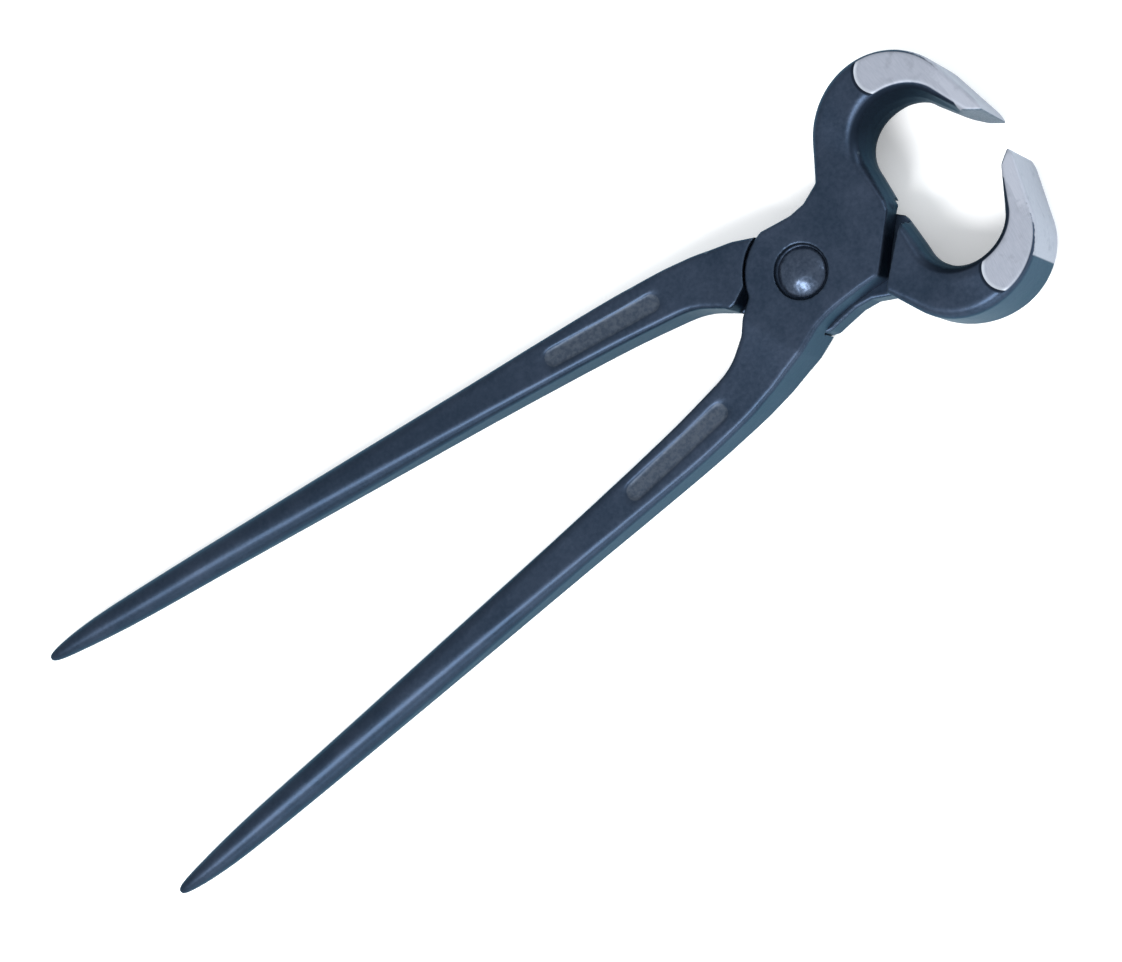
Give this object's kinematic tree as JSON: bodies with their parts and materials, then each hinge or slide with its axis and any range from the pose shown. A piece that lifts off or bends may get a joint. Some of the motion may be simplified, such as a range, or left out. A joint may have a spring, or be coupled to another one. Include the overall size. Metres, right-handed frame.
{
  "type": "end cutting nippers",
  "caption": "Forged end cutting nippers with a half-lap rivet joint, curved jaws with ground sides and long tapering handles.",
  "frame": {"origin": "on the rivet's axis, at the back face of the joint, in the pose of the picture (jaws 11 degrees open)", "axes": "+X along the tool's middle line towards the jaws, +Y towards the front lever's jaw, +Z along the rivet towards its domed head"},
  "size_m": [0.2452, 0.0648, 0.0206],
  "materials": {
    "forged_steel": "dark blue-grey forged skin, sides of the jaws ground bright",
    "rivet_steel": "dark blue-grey, smooth domed head"
  },
  "bodies": {
    "back_half": {"back_lever": "forged_steel", "rivet": "rivet_steel"},
    "front_half": {"front_lever": "forged_steel"}
  },
  "joints": [
    {"name": "rivet_hinge", "type": "hinge", "parent": "back_half", "child": "front_half", "pos_m": [0, 0, 0.0075], "axis": [0, 0, 1], "range_deg": [-11, 36]}
  ]
}
